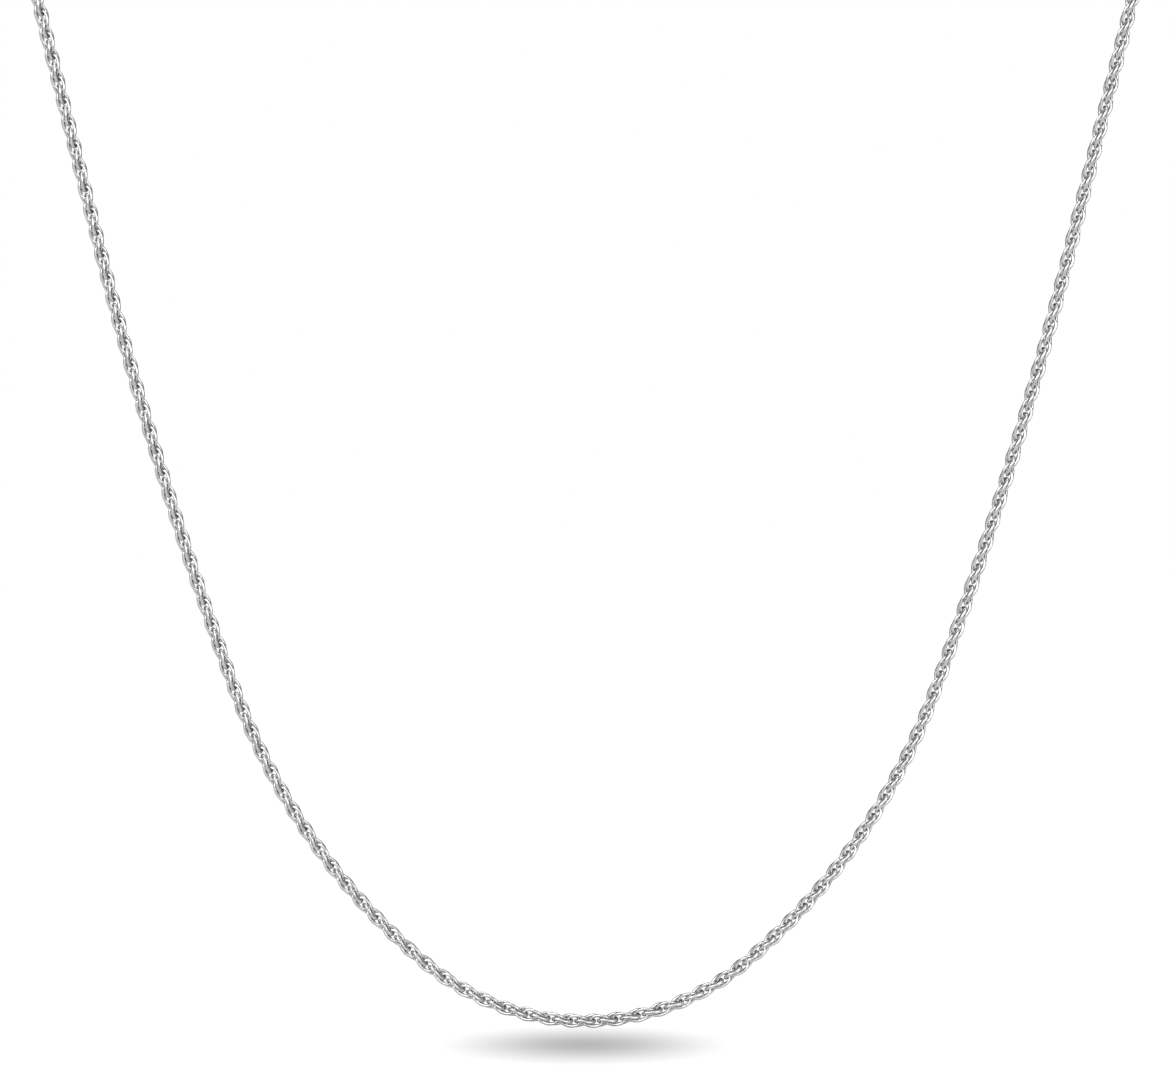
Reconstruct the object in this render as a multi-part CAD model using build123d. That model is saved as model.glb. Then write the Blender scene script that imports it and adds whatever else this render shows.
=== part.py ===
from build123d import *
from math import asin, cos, degrees, floor, radians, sin, sqrt
import os

os.makedirs("parts", exist_ok=True)

# Rope-look chain necklace as worn, in mm and degrees: +Z up, +Y towards the nape, -Y towards the viewer.
# The origin is the middle of the neck opening, level with the tops of the shoulders.

# --- driving dimensions: one link ---
wire_diameter = 0.32
link_half_width = 0.615  # chain's axis to the middle of the wire, across
link_half_length = 0.985  # middle of the link to the middle of the wire, along the chain
link_end_twist = 25  # how far each end of the link is turned about the chain's axis
link_side_lean = 14  # how far the sides lean, the same way round
link_pitch = 0.78
link_turn = 60  # each link from the one before, so three links make one eye of the rope

# --- driving dimensions: the way the necklace hangs ---
necklace_length = 457.2
front_bends = [(25.8, 40), (65.4, 60), (68.7, 70), (455, 76)]  # bend radius, slope where it ends
front_height = 105.5  # lowest point up to where the shoulder bend starts
shoulder_bend_radius = 13.7
neck_rise = 25  # slope of the neck loop, up towards the nape
nape_straight = 11  # half of the straight stretch that the clasp lies in

# --- driving dimensions: how the front is divided for its joints ---
bottom_links_each_side = 8  # links of the lowest stretch on each side of the middle link
links_per_stretch = 13
front_stretches = 11

# --- driving dimensions: end caps, jump rings and clasp ---
cap_loop_radius = 0.8  # to the middle of its wire
cap_loop_wire = 0.5
cap_outer_radius = 1.05
cap_inner_radius = 0.84
cap_length = 2.6
cap_end_wall = 0.5
cap_shoulder_round = 0.35
cap_bead_radius = 0.14
cap_bead_inset = 0.25  # from the cap's open end to the middle of its bead
left_ring_radius = 1.2  # to the middle of its wire
left_ring_wire = 0.55
right_ring_radius = 1.6
right_ring_wire = 0.5
ring_play = 0.05  # gap where a jump ring hangs in a cap's loop
tail_play = 0.1
hook_play = 0.25
clasp_length = 9.0
clasp_thickness = 1.4
clasp_edge_round = 0.3
clasp_waist_round = 0.5
clasp_neck_radius = 0.6
tail_outer_radius = 1.05
tail_hole_radius = 0.6
tail_thickness = 0.7
hook_outer_radius = 2.1
hook_inner_radius = 1.25
slot_width = 0.66
slot_wall = 0.2  # from the clasp's middle line to the slot's inner wall
mouth_wall = 0.45  # and to the inner end of the mouth's cut
lever_plate = 0.56
lever_nose_thickness = 1.2
lever_height = 0.85
lever_edge = 1.05  # from the clasp's middle line to the lever's inner edge
lever_shoulder = 0.62  # and to its shoulder's, which the spring presses on
lever_boss_radius = 0.4
lever_gap = 0.06  # between the lever's nose and the hook's tip
tab_height = 2.6
tab_width = 0.5
tab_setback = 0.75  # from the pivot to the middle of the thumb tab
thumb_radius = 0.3
pivot_setback = 2.2  # from the middle of the hook back to the pivot
pivot_y = 1.0
mouth_reach = 1.22  # from the middle of the hook to its tip
pin_radius = 0.22
pin_play = 0.03
spring_wire = 0.16


# --- the centre line of the chain ---
# Each stretch of the right half is (start frame, length, radius, direction of the bend's centre).
# A frame's Z runs along the chain, and its X keeps its place round the chain, without twist.

def frame_along(start, distance, radius, toward):
    if radius == 0:
        return Plane(start.origin + start.z_dir * distance, x_dir=start.x_dir, z_dir=start.z_dir)
    turning = Axis((0, 0, 0), start.z_dir.cross(toward))
    angle = degrees(distance / radius)
    centre = start.origin + toward * radius
    origin = centre + (start.origin - centre).rotate(turning, angle)
    return Plane(origin, x_dir=start.x_dir.rotate(turning, angle), z_dir=start.z_dir.rotate(turning, angle))


def add_bend(route, start, heading, radius):
    along = start.z_dir.dot(heading)
    toward = (heading - start.z_dir * along).normalized()
    length = radius * radians(start.z_dir.get_angle(heading))
    route.append((start, length, radius, toward))
    return frame_along(start, length, radius, toward)


def add_straight(route, start, length):
    route.append((start, length, 0, None))
    return frame_along(start, length, 0, None)


right_half = []
frame = Plane((0, 0, 0), x_dir=(0, -1, 0), z_dir=(1, 0, 0))
for bend_radius, slope in front_bends:
    frame = add_bend(right_half, frame, Vector(cos(radians(slope)), 0, sin(radians(slope))), bend_radius)
frame = add_straight(right_half, frame, (front_height - frame.origin.Z) / frame.z_dir.Z)
back_and_up = Vector(0, cos(radians(neck_rise)), sin(radians(neck_rise)))
frame = add_bend(right_half, frame, back_and_up, shoulder_bend_radius)
neck_centre = Vector(0, frame.origin.Y, frame.origin.Z)
frame = add_bend(right_half, frame, Vector(-1, 0, 0), frame.origin.X - nape_straight)
frame = add_straight(right_half, frame, nape_straight)
nape = frame.origin - neck_centre
half_length = sum(stretch[1] for stretch in right_half)


def chain_frame(distance):
    # frame at a distance along the chain from its lowest point, negative on the left half
    left_over = abs(distance)
    for start, length, radius, toward in right_half:
        if left_over <= length:
            break
        left_over -= length
    here = frame_along(start, left_over, radius, toward)
    origin = here.origin - neck_centre
    if distance >= 0:
        return Plane(origin, x_dir=here.x_dir, z_dir=here.z_dir)
    x_dir = Vector(-here.x_dir.X, here.x_dir.Y, here.x_dir.Z)
    z_dir = Vector(here.z_dir.X, -here.z_dir.Y, -here.z_dir.Z)
    return Plane(Vector(-origin.X, origin.Y, origin.Z), x_dir=x_dir, z_dir=z_dir)


# --- one link: an oval of round wire, twisted about the chain's axis, made of circular arcs ---

def wire_arc(start, heading, end):
    # the wire bent in one arc from start to end, leaving start along heading
    chord = end - start
    turning = heading.cross(chord).normalized()
    inward = turning.cross(heading)
    radius = chord.length**2 / (2 * chord.dot(inward))
    angle = 2 * asin(chord.length / (2 * radius))
    section = Plane(origin=start, z_dir=heading) * Circle(wire_diameter / 2)
    return revolve(section, axis=Axis(start + inward * radius, turning), revolution_arc=degrees(angle))


def make_link():
    # a quarter of the link goes from the middle of one side to the middle of one end, in two arcs
    side = Vector(link_half_width, 0, 0)
    side_heading = Vector(0, sin(radians(link_side_lean)), cos(radians(link_side_lean)))
    end = Vector(0, 0, link_half_length)
    end_heading = Vector(-cos(radians(link_end_twist)), -sin(radians(link_end_twist)), 0)
    # the arcs meet half way between two points at equal reach along the two headings
    across = end - side
    both = side_heading + end_heading
    spread = 2 * (1 - side_heading.dot(end_heading))
    lean = across.dot(both)
    reach = (sqrt(lean**2 + spread * across.length**2) - lean) / spread
    side_point = side + side_heading * reach
    end_point = end - end_heading * reach
    meeting = (side_point + end_point) * 0.5
    meeting_heading = (end_point - side_point).normalized()
    quarter = wire_arc(side, side_heading, meeting) + wire_arc(meeting, meeting_heading, end)
    link = quarter
    for axis in (Axis.X, Axis.Y, Axis.Z):
        link += quarter.rotate(axis, 180)
    return link.solid()


def chain_stretch(link, first, last):
    # links first to last, counted from the lowest link of the necklace
    links = []
    for number in range(first, last + 1):
        place = chain_frame(number * link_pitch).location * Location((0, 0, 0), (0, 0, number * link_turn))
        links.append(link.moved(place))
    return Compound(children=links)


# --- end caps, jump rings and clasp, on the nape ---
# Local frame: X along the chain towards the right half, Y down the nape, Z away from the skin.
nape_frame = Plane(nape, x_dir=(1, 0, 0), z_dir=back_and_up)

# Places along X, worked out from how each ring hangs in the next.
ring_in_loop = (cap_loop_wire + left_ring_wire) / 2 + ring_play
tail_to_ring = tail_hole_radius - left_ring_wire / 2 - tail_play
ring_in_right_loop = (cap_loop_wire + right_ring_wire) / 2 + ring_play
hook_to_ring = hook_inner_radius - right_ring_wire / 2 - hook_play
loop_to_tail = cap_loop_radius - ring_in_loop + 2 * left_ring_radius + tail_to_ring
tail_to_hook = clasp_length - tail_outer_radius - hook_outer_radius
hook_to_loop = hook_to_ring + 2 * right_ring_radius - ring_in_right_loop + cap_loop_radius
loop_x = (loop_to_tail + tail_to_hook + hook_to_loop) / 2
left_ring_x = -loop_x + cap_loop_radius - ring_in_loop + left_ring_radius
tail_x = -loop_x + loop_to_tail
hook_x = tail_x + tail_to_hook
right_ring_x = hook_x + hook_to_ring + right_ring_radius
pivot_x = hook_x - pivot_setback
mouth_x = hook_x - hook_inner_radius  # the hook's mouth starts here
tip_x = hook_x + mouth_reach  # and ends here


def make_ring(radius, wire):
    # stands square to the clasp, so its axis is the local Y
    return Rot(90, 0, 0) * Torus(radius, wire / 2)


def make_end_cap(side):
    # side is 1 on the right and -1 on the left
    lying = Rot(0, 90, 0)
    cup_x = cap_loop_radius
    cup = Pos(cup_x + cap_length / 2, 0, 0) * lying * Cylinder(cap_outer_radius, cap_length)
    cup = fillet(cup.edges().filter_by(GeomType.CIRCLE).sort_by(Axis.X)[0], cap_shoulder_round)
    bead = Pos(cup_x + cap_length - cap_bead_inset, 0, 0) * lying * Torus(cap_outer_radius, cap_bead_radius)
    hollow_length = cap_length - cap_end_wall
    hollow_x = cup_x + cap_end_wall + hollow_length / 2
    hollow = Pos(hollow_x, 0, 0) * lying * Cylinder(cap_inner_radius, hollow_length)
    cap = (cup - hollow) + Torus(cap_loop_radius, cap_loop_wire / 2) + (bead - hollow)
    if side < 0:
        cap = cap.rotate(Axis.Z, 180)
    return Pos(side * loop_x, 0, 0) * cap


def clasp_outline():
    neck_circle = Pos(tail_x + 0.2, 0) * Circle(clasp_neck_radius)
    hook_circle = Pos(hook_x, 0) * Circle(hook_outer_radius)
    return make_hull(neck_circle.edges() + hook_circle.edges())


def make_clasp_body():
    outline = clasp_outline() + Pos(tail_x, 0) * Circle(tail_outer_radius)
    waist = outline.vertices().filter_by_position(Axis.X, tail_x + 0.3, tail_x + 1.2)
    outline = fillet(waist, clasp_waist_round)
    body = extrude(outline, clasp_thickness / 2, both=True)
    rims = body.faces().sort_by(Axis.Z)[0].edges() + body.faces().sort_by(Axis.Z)[-1].edges()
    body = fillet(rims, clasp_edge_round)
    # the tail is thinner, so that the jump ring can turn in it
    for face in (1, -1):
        shave = Pos(tail_x, 0, face * (tail_thickness + clasp_thickness) / 2)
        body -= shave * Box(2.2, 4, clasp_thickness)
    body -= Pos(hook_x, 0, 0) * Cylinder(hook_inner_radius, 2 * clasp_thickness)
    body -= Pos(tail_x, 0, 0) * Cylinder(tail_hole_radius, 2 * clasp_thickness)
    body -= Pos(mouth_x, mouth_wall, 0) * Box(
        tip_x - mouth_x, 3, 2 * clasp_thickness, align=(Align.MIN, Align.MIN, Align.CENTER)
    )
    body -= Pos(pivot_x - 0.85, slot_wall, 0) * Box(
        mouth_x - pivot_x + 1, 3, slot_width, align=(Align.MIN, Align.MIN, Align.CENTER)
    )
    body -= Pos(pivot_x, pivot_y, 0) * Cylinder(pin_radius, 2 * clasp_thickness)
    return body.solid()


def make_clasp_lever():
    bar = Pos(pivot_x, lever_edge) * Rectangle(
        tip_x - lever_gap - pivot_x, lever_height, align=(Align.MIN, Align.MIN)
    )
    bar = bar & clasp_outline()
    shoulder = Pos(pivot_x, lever_shoulder) * Rectangle(
        mouth_x - pivot_x, pivot_y + lever_boss_radius - lever_shoulder, align=(Align.MIN, Align.MIN)
    )
    boss = Pos(pivot_x, pivot_y) * Circle(lever_boss_radius)
    tab_x = pivot_x + tab_setback
    tab = Pos(tab_x, tab_height) * Rectangle(tab_width, 1.2, align=(Align.CENTER, Align.MAX))
    plate = extrude(bar + shoulder + boss + tab, lever_plate / 2, both=True)
    nose_side = Pos(mouth_x + 0.25, 0) * Rectangle(5, 8, align=(Align.MIN, Align.CENTER))
    nose = extrude(bar & nose_side, lever_nose_thickness / 2, both=True)
    thumb = Pos(tab_x, tab_height, 0) * Cylinder(thumb_radius, 1)
    hole = Pos(pivot_x, pivot_y, 0) * Cylinder(pin_radius + pin_play, 2 * clasp_thickness)
    return (plate + nose + thumb - hole).solid()


def make_clasp_pin():
    return Pos(pivot_x, pivot_y, 0) * Cylinder(pin_radius, clasp_thickness)


def make_clasp_spring():
    # a hairpin: one leg along the slot's inner wall, one on the lever's shoulder, joined by a round bend
    wall_y = slot_wall + spring_wire / 2 + 0.01
    shoulder_y = lever_shoulder - spring_wire / 2 - 0.01
    leg_end = pivot_x + 0.85
    bend_x = pivot_x - 0.45
    first_leg = Line((leg_end, wall_y), (bend_x, wall_y))
    bend = TangentArc((bend_x, wall_y), (bend_x, shoulder_y), tangent=(-1, 0))
    second_leg = Line((bend_x, shoulder_y), (leg_end, shoulder_y))
    section = Plane(origin=first_leg @ 0, z_dir=first_leg % 0) * Circle(spring_wire / 2)
    return sweep(section, path=Wire([first_leg, bend, second_leg]))


# --- write one STEP file for each node ---

def write(name, shape):
    shape.label = name
    export_step(shape, f"parts/{name}.step")


link = make_link()
print("link volume", round(link.volume, 4), "valid", link.is_valid)
print("half length", round(half_length, 2), "wanted", necklace_length / 2)
print("origin above the lowest point", neck_centre, "nape", nape)
print("cap loops at", round(loop_x, 3), "pivot", round(pivot_x, 3), pivot_y)

write("bottom_chain", chain_stretch(link, -bottom_links_each_side, bottom_links_each_side))
for level in range(1, front_stretches + 1):
    first = bottom_links_each_side + 1 + (level - 1) * links_per_stretch
    last = first + links_per_stretch - 1
    joint = chain_frame((first - 0.5) * link_pitch)
    print("joint below stretch", level, [round(value, 4) for value in joint.origin])
    write(f"right_front_chain_{level}", chain_stretch(link, first, last))
    write(f"left_front_chain_{level}", chain_stretch(link, -last, -first))

# the last link stops just short of the cap's end wall
last_front = bottom_links_each_side + front_stretches * links_per_stretch
print("top joint", [round(value, 4) for value in chain_frame((last_front + 0.5) * link_pitch).origin])
cap_floor = loop_x + cap_loop_radius + cap_end_wall
link_reach = link_half_length + wire_diameter / 2
last_link = floor((half_length - cap_floor - link_reach - 0.08) / link_pitch)
shoulder_end = last_front + (last_link - last_front) // 2
print("links", 2 * last_link + 1)
back_stretches = [
    ("shoulder_chain", last_front + 1, shoulder_end),
    ("neck_chain", shoulder_end + 1, last_link),
]
for name, first, last in back_stretches:
    write(f"right_{name}", chain_stretch(link, first, last))
    write(f"left_{name}", chain_stretch(link, -last, -first))

write("right_end_cap", nape_frame * make_end_cap(1))
write("left_end_cap", nape_frame * make_end_cap(-1))
left_ring = Pos(left_ring_x, 0, 0) * make_ring(left_ring_radius, left_ring_wire)
right_ring = Pos(right_ring_x, 0, 0) * make_ring(right_ring_radius, right_ring_wire)
write("left_jump_ring", nape_frame * left_ring)
write("right_jump_ring", nape_frame * right_ring)
write("clasp_body", nape_frame * make_clasp_body())
write("clasp_lever", nape_frame * make_clasp_lever())
write("clasp_pivot_pin", nape_frame * make_clasp_pin())
write("clasp_spring", nape_frame * make_clasp_spring())
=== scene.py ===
import bpy
import math
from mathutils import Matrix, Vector


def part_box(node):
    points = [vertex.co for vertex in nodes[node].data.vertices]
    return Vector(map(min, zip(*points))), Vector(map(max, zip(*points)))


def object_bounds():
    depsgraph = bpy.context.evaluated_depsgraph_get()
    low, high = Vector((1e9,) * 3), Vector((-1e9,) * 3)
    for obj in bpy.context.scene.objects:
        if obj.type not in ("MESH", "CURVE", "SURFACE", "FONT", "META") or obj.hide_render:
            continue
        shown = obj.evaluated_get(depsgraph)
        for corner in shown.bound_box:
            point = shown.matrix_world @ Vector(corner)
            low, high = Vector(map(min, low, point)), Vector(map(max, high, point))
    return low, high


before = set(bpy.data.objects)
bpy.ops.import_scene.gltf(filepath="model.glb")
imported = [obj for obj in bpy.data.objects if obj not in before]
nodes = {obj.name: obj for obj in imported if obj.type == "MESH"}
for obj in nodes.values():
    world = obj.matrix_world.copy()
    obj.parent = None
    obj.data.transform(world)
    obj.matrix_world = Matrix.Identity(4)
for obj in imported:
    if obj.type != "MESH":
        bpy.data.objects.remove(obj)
cadLow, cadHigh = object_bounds()
print("frame loaded", len(nodes), "nodes")


def hexToLinear(code):
    # sRGB hex to linear RGBA
    parts = [int(code[i:i + 2], 16) / 255 for i in (0, 2, 4)]
    return [c / 12.92 if c <= 0.04045 else ((c + 0.055) / 1.055) ** 2.4 for c in parts] + [1.0]


def addNode(tree, kind, settings=None, links=None):
    # settings are attributes or input values by name or number, links are inputs fed by other sockets
    node = tree.nodes.new(kind)
    for name, value in (settings or {}).items():
        if isinstance(name, str) and hasattr(node, name):
            setattr(node, name, value)
        else:
            node.inputs[name].default_value = value
    for name, socket in (links or {}).items():
        tree.links.new(socket, node.inputs[name])
    return node


def setRamp(node, stops):
    # stops are (place, linear colour)
    ramp = node.color_ramp
    while len(ramp.elements) < len(stops):
        ramp.elements.new(0.5)
    for element, (place, colour) in zip(ramp.elements, stops):
        element.position = place
        element.color = colour


def startMaterial(name):
    material = bpy.data.materials.new(name)
    material.use_nodes = True
    tree = material.node_tree
    tree.nodes.clear()
    shader = addNode(tree, "ShaderNodeBsdfPrincipled")
    addNode(tree, "ShaderNodeOutputMaterial", links={"Surface": shader.outputs["BSDF"]})
    return material, tree, shader


# rhodium-plated sterling silver, drawn wire that was tumbled bright after soldering: a white mirror
# with a slight haze, faint tumbling marks, and shade down in the gaps between the links
wireLook = {
    "bright": "EDEDED",
    "dull": "D6D6D6",
    "shade": "A8A8A8",
    "roughness": (0.13, 0.24),
    "hazeSize": 0.0021,  # cloudy patches left by the tumbler, about 2 mm
    "scratchSize": 0.00009,  # fine marks about 0.1 mm apart
    "bump": 0.000004,
    "waveSize": 0.0012,  # soft unevenness of the drawn wire
    "waveHeight": 0.000006,
    "shadeReach": 0.00032,  # about one wire's thickness
}

# the same metal, cast and then polished by hand on a wheel: a touch brighter, with soft swirls
castLook = {
    "bright": "EDEDED",
    "dull": "D9D9D9",
    "shade": "9C9C9C",
    "roughness": (0.09, 0.2),
    "hazeSize": 0.0016,
    "scratchSize": 0.00012,
    "bump": 0.000003,
    "waveSize": 0.0013,  # the wheel leaves flat faces slightly wavy
    "waveHeight": 0.00003,
    "shadeReach": 0.0006,
}

# stainless spring wire, cold drawn: greyer and duller, with marks along it
springLook = {
    "bright": "BCBDBF",
    "dull": "98999B",
    "shade": "626365",
    "roughness": (0.25, 0.4),
    "hazeSize": 0.0008,
    "scratchSize": 0.00005,
    "bump": 0.000003,
    "waveSize": 0.001,
    "waveHeight": 0.000004,
    "shadeReach": 0.0003,
}

# what the three finishes share
finish = {
    "islandShare": 0.45,  # how much the tone differs from link to link
    "toneRange": (0.35, 0.85),  # where the tone leaves dull and where it reaches bright
    "gapRange": (0.15, 0.75),  # how open a spot is where it is fully shaded and where it is clear
    "marksRange": (0.3, 0.7),
    "marksStrength": 0.35,
}


def makeSilver(name, look):
    material, tree, shader = startMaterial(name)
    place = addNode(tree, "ShaderNodeTexCoord").outputs["Object"]
    haze = addNode(
        tree, "ShaderNodeTexNoise",
        {"Scale": 1 / look["hazeSize"], "Detail": 3.0, "Roughness": 0.6},
        {"Vector": place},
    )
    marks = addNode(
        tree, "ShaderNodeTexNoise",
        {"Scale": 1 / look["scratchSize"], "Detail": 2.0, "Roughness": 0.7, "Distortion": 1.5},
        {"Vector": place},
    )
    # each link took the polish a little differently
    island = addNode(tree, "ShaderNodeNewGeometry").outputs["Random Per Island"]
    polish = addNode(
        tree, "ShaderNodeMath",
        {"operation": "MULTIPLY_ADD", 1: finish["islandShare"]},
        {0: island, 2: haze.outputs["Fac"]},
    )
    tone = addNode(tree, "ShaderNodeValToRGB", links={"Fac": polish.outputs["Value"]})
    dullAt, brightAt = finish["toneRange"]
    setRamp(tone, [(dullAt, hexToLinear(look["dull"])), (brightAt, hexToLinear(look["bright"]))])
    # shade gathers where the wires lie close together
    gap = addNode(tree, "ShaderNodeAmbientOcclusion", {"samples": 8, "Distance": look["shadeReach"]})
    depth = addNode(tree, "ShaderNodeValToRGB", links={"Fac": gap.outputs["AO"]})
    shadedAt, clearAt = finish["gapRange"]
    setRamp(depth, [(shadedAt, hexToLinear(look["shade"])), (clearAt, hexToLinear("FFFFFF"))])
    colour = addNode(tree, "ShaderNodeMix", {"data_type": "RGBA", "blend_type": "MULTIPLY", 0: 1.0})
    tree.links.new(tone.outputs["Color"], colour.inputs[6])
    tree.links.new(depth.outputs["Color"], colour.inputs[7])
    tree.links.new(colour.outputs[2], shader.inputs["Base Color"])
    marksLow, marksHigh = finish["marksRange"]
    smooth, rough = look["roughness"]
    sheen = addNode(
        tree, "ShaderNodeMapRange",
        {"From Min": marksLow, "From Max": marksHigh, "To Min": smooth, "To Max": rough},
        {"Value": marks.outputs["Fac"]},
    )
    tree.links.new(sheen.outputs["Result"], shader.inputs["Roughness"])
    waves = addNode(
        tree, "ShaderNodeTexNoise",
        {"Scale": 1 / look["waveSize"], "Detail": 1.0},
        {"Vector": place},
    )
    swell = addNode(
        tree, "ShaderNodeBump",
        {"Strength": 1.0, "Distance": look["waveHeight"]},
        {"Height": waves.outputs["Fac"]},
    )
    bump = addNode(
        tree, "ShaderNodeBump",
        {"Strength": finish["marksStrength"], "Distance": look["bump"]},
        {"Height": marks.outputs["Fac"], "Normal": swell.outputs["Normal"]},
    )
    tree.links.new(bump.outputs["Normal"], shader.inputs["Normal"])
    shader.inputs["Metallic"].default_value = 1.0
    return material


drawnSilver = makeSilver("rhodium silver wire tumbled", wireLook)
castSilver = makeSilver("rhodium silver cast polished", castLook)
springWire = makeSilver("stainless spring wire drawn", springLook)


def paint(piece, material):
    piece.data.materials.clear()
    piece.data.materials.append(material)


for name, piece in nodes.items():
    if name.endswith("chain") or "_chain_" in name:
        paint(piece, drawnSilver)
    elif name == "clasp_spring":
        paint(piece, springWire)
    else:
        paint(piece, castSilver)
print("materials made")

# cut edges of the cast pieces, as wide as the polishing wheel left them: the body and the caps
# have theirs rounded in the model already
edgeWidths = {
    "clasp_body": 0,
    "clasp_lever": 0.00005,
    "clasp_pivot_pin": 0.00003,
    "left_end_cap": 0,
    "right_end_cap": 0,
}
edgeFinish = {
    "segments": 3,
    "roundAbove": 40,  # degrees between faces
    "splitAbove": 35,
    "flatWeight": 80,  # how far the larger of two faces decides the shading where they meet
}
for name, width in edgeWidths.items():
    if width:
        rounding = nodes[name].modifiers.new("polished edges", "BEVEL")
        rounding.width = width
        rounding.segments = edgeFinish["segments"]
        rounding.limit_method = "ANGLE"
        rounding.angle_limit = math.radians(edgeFinish["roundAbove"])
    split = nodes[name].modifiers.new("crisp corners", "EDGE_SPLIT")
    split.split_angle = math.radians(edgeFinish["splitAbove"])
    split.use_edge_sharp = False
    flats = nodes[name].modifiers.new("flat faces", "WEIGHTED_NORMAL")
    flats.weight = edgeFinish["flatWeight"]
    flats.keep_sharp = True
print("edges finished")

# the camera stands in front, level, with the lowest link near the bottom of its view
bottomLow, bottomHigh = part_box("bottom_chain")
chainHalfWidth = (bottomHigh.y - bottomLow.y) / 2
lowestPoint = Vector((0, (bottomLow.y + bottomHigh.y) / 2, bottomLow.z + chainHalfWidth))
shot = {
    "fieldWidth": 0.121,  # width of the view at the chain
    "aimAboveLowest": 0.0497,
    "lens": 100.0,
    "sensor": 36.0,
    "clip": (0.01, 20.0),
}
cameraData = bpy.data.cameras.new("camera")
cameraData.lens = shot["lens"]
cameraData.sensor_width = shot["sensor"]
cameraData.clip_start, cameraData.clip_end = shot["clip"]
camera = bpy.data.objects.new("camera", cameraData)
bpy.context.scene.collection.objects.link(camera)
distance = shot["fieldWidth"] * shot["lens"] / shot["sensor"]
camera.location = lowestPoint + Vector((0, -distance, shot["aimAboveLowest"]))
camera.rotation_euler = (math.radians(90), 0, 0)
bpy.context.scene.camera = camera

# pale floor a little below the lowest link, with a soft pool of shade painted under the loop, since
# the thin chain's own shadow is too faint to show
floorLook = {
    "drop": 0.0021,
    "size": 6.0,
    "pale": "FDFDFD",
    "shade": "B4B4B4",
    "shadeBehind": 0.002,  # the pool lies a little behind the chain
    "shadeHalfWidth": 0.0185,
    "shadeHalfDepth": 0.0165,
    "roughness": 0.9,
    "glow": 1.12,
    "glowShare": 0.9,  # how much of what the camera sees of the floor is glow
}
floorHeight = cadLow.z - floorLook["drop"]
floorPlace = (0, lowestPoint.y + floorLook["shadeBehind"], floorHeight)
bpy.ops.mesh.primitive_plane_add(size=floorLook["size"], location=floorPlace)
floor = bpy.context.object
floor.name = "floor"
floorPaint, tree, shader = startMaterial("matt white board")
place = addNode(tree, "ShaderNodeTexCoord").outputs["Object"]
spread = addNode(tree, "ShaderNodeVectorMath", {"operation": "MULTIPLY"}, {0: place})
spread.inputs[1].default_value = (1 / floorLook["shadeHalfWidth"], 1 / floorLook["shadeHalfDepth"], 0)
reach = addNode(tree, "ShaderNodeVectorMath", {"operation": "LENGTH"}, {0: spread.outputs["Vector"]})
pool = addNode(tree, "ShaderNodeValToRGB", links={"Fac": reach.outputs["Value"]})
pool.color_ramp.interpolation = "EASE"
setRamp(pool, [(0.0, hexToLinear(floorLook["shade"])), (1.0, hexToLinear(floorLook["pale"]))])
tree.links.new(pool.outputs["Color"], shader.inputs["Base Color"])
shader.inputs["Roughness"].default_value = floorLook["roughness"]
# the board is lit evenly to white, and the necklace itself sees only its matt surface
glow = addNode(
    tree, "ShaderNodeEmission",
    {"Strength": floorLook["glow"]},
    {"Color": pool.outputs["Color"]},
)
cameraRay = addNode(tree, "ShaderNodeLightPath").outputs["Is Camera Ray"]
share = addNode(
    tree, "ShaderNodeMath",
    {"operation": "MULTIPLY", 1: floorLook["glowShare"]},
    {0: cameraRay},
)
board = addNode(
    tree, "ShaderNodeMixShader",
    links={0: share.outputs[0], 1: shader.outputs[0], 2: glow.outputs[0]},
)
tree.links.new(board.outputs[0], tree.nodes["Material Output"].inputs["Surface"])
floor.data.materials.append(floorPaint)

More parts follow.
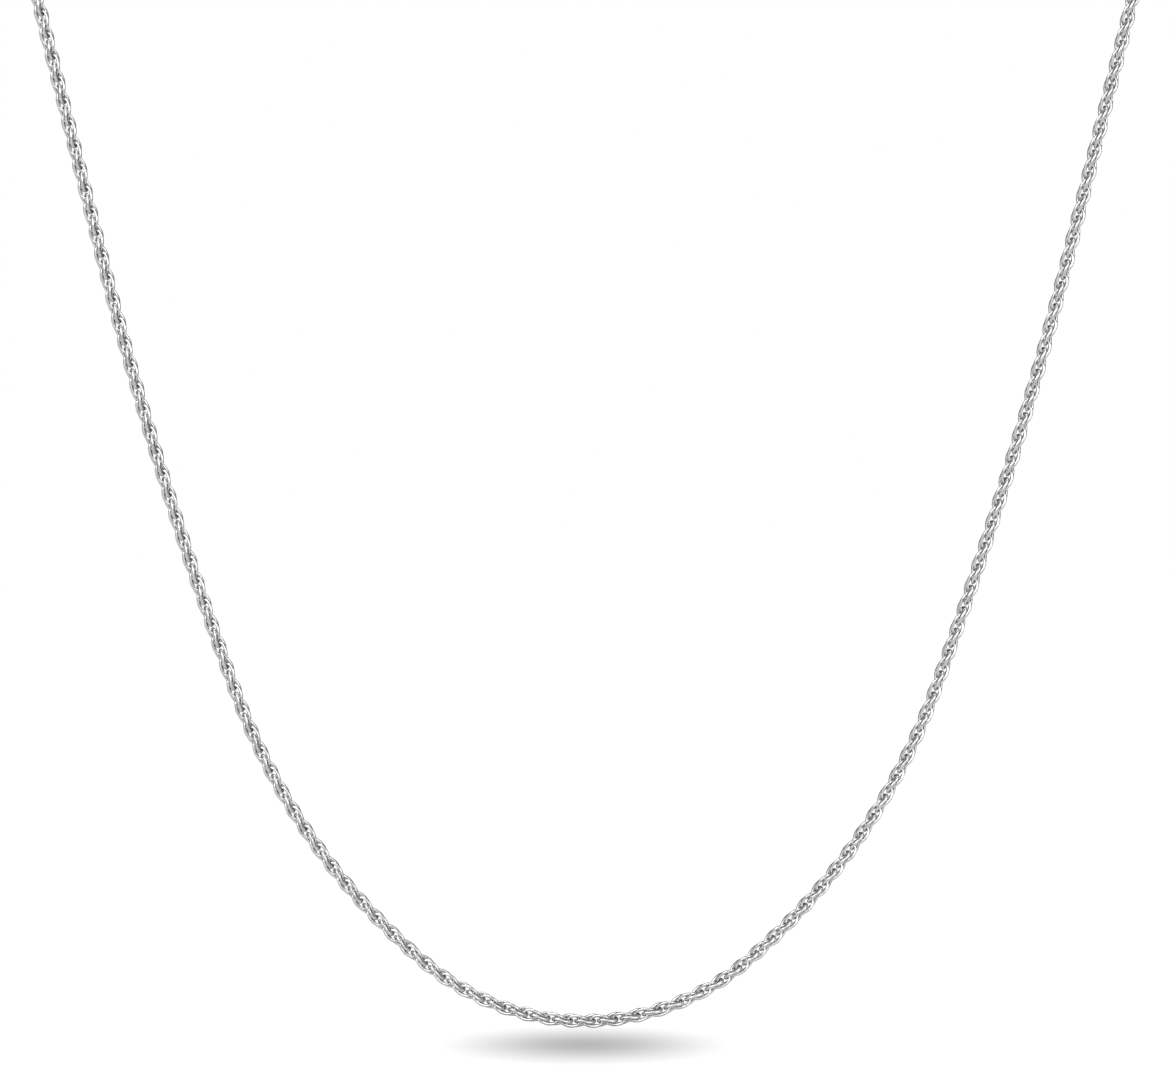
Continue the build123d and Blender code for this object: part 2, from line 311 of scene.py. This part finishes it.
# soft studio light, large boxes in front, one overhead and one behind, which the camera doesn't see
softBoxes = {
    "left": {"spot": (-0.55, -0.75, 0.45), "size": 0.6, "power": 2.4},
    "right": {"spot": (0.55, -0.75, 0.3), "size": 0.6, "power": 1.7},
    "top": {"spot": (0.0, -0.1, 0.8), "size": 0.5, "power": 1.1},
    "back": {"spot": (0.05, 0.85, 0.45), "size": 0.75, "power": 0.75},
}
lookAt = Vector((0, 0, (cadLow.z + cadHigh.z) / 2))
for name, softBox in softBoxes.items():
    boxData = bpy.data.lights.new("soft box " + name, "AREA")
    boxData.shape = "DISK"
    boxData.size = softBox["size"]
    boxData.energy = softBox["power"]
    box = bpy.data.objects.new("soft box " + name, boxData)
    bpy.context.scene.collection.objects.link(box)
    box.location = softBox["spot"]
    box.rotation_euler = (lookAt - Vector(softBox["spot"])).to_track_quat("-Z", "Y").to_euler()
    box.visible_camera = False

# the metal mirrors a room that is bright in front, dark at the sides and grey behind, so that each
# wire has a bright back and dark edges, and the camera sees plain white
roomLook = {
    "seen": "FFFFFF",
    "tones": [  # from straight in front to straight behind
        (0.0, "F2F2F2"), (0.25, "CFCFCF"), (0.5, "666666"),
        (0.85, "666666"), (0.95, "8C8C8C"), (1.0, "C4C4C4"),
    ],
}
room = bpy.data.worlds.new("pale room")
bpy.context.scene.world = room
room.use_nodes = True
tree = room.node_tree
tree.nodes.clear()
direction = addNode(tree, "ShaderNodeTexCoord").outputs["Generated"]
parts = addNode(tree, "ShaderNodeSeparateXYZ", links={"Vector": direction})
backness = addNode(
    tree, "ShaderNodeMapRange",
    {"From Min": -1.0, "From Max": 1.0},
    {"Value": parts.outputs["Y"]},
)
roomTone = addNode(tree, "ShaderNodeValToRGB", links={"Fac": backness.outputs["Result"]})
setRamp(roomTone, [(at, hexToLinear(code)) for at, code in roomLook["tones"]])
lit = addNode(tree, "ShaderNodeBackground", {"Strength": 1.0}, {"Color": roomTone.outputs["Color"]})
seen = addNode(tree, "ShaderNodeBackground", {"Color": hexToLinear(roomLook["seen"]), "Strength": 1.0})
cameraRay = addNode(tree, "ShaderNodeLightPath").outputs["Is Camera Ray"]
sky = addNode(tree, "ShaderNodeMixShader", links={0: cameraRay, 1: lit.outputs[0], 2: seen.outputs[0]})
addNode(tree, "ShaderNodeOutputWorld", links={"Surface": sky.outputs[0]})
bpy.context.scene.view_settings.view_transform = "Standard"
print("floor, lights and camera set")
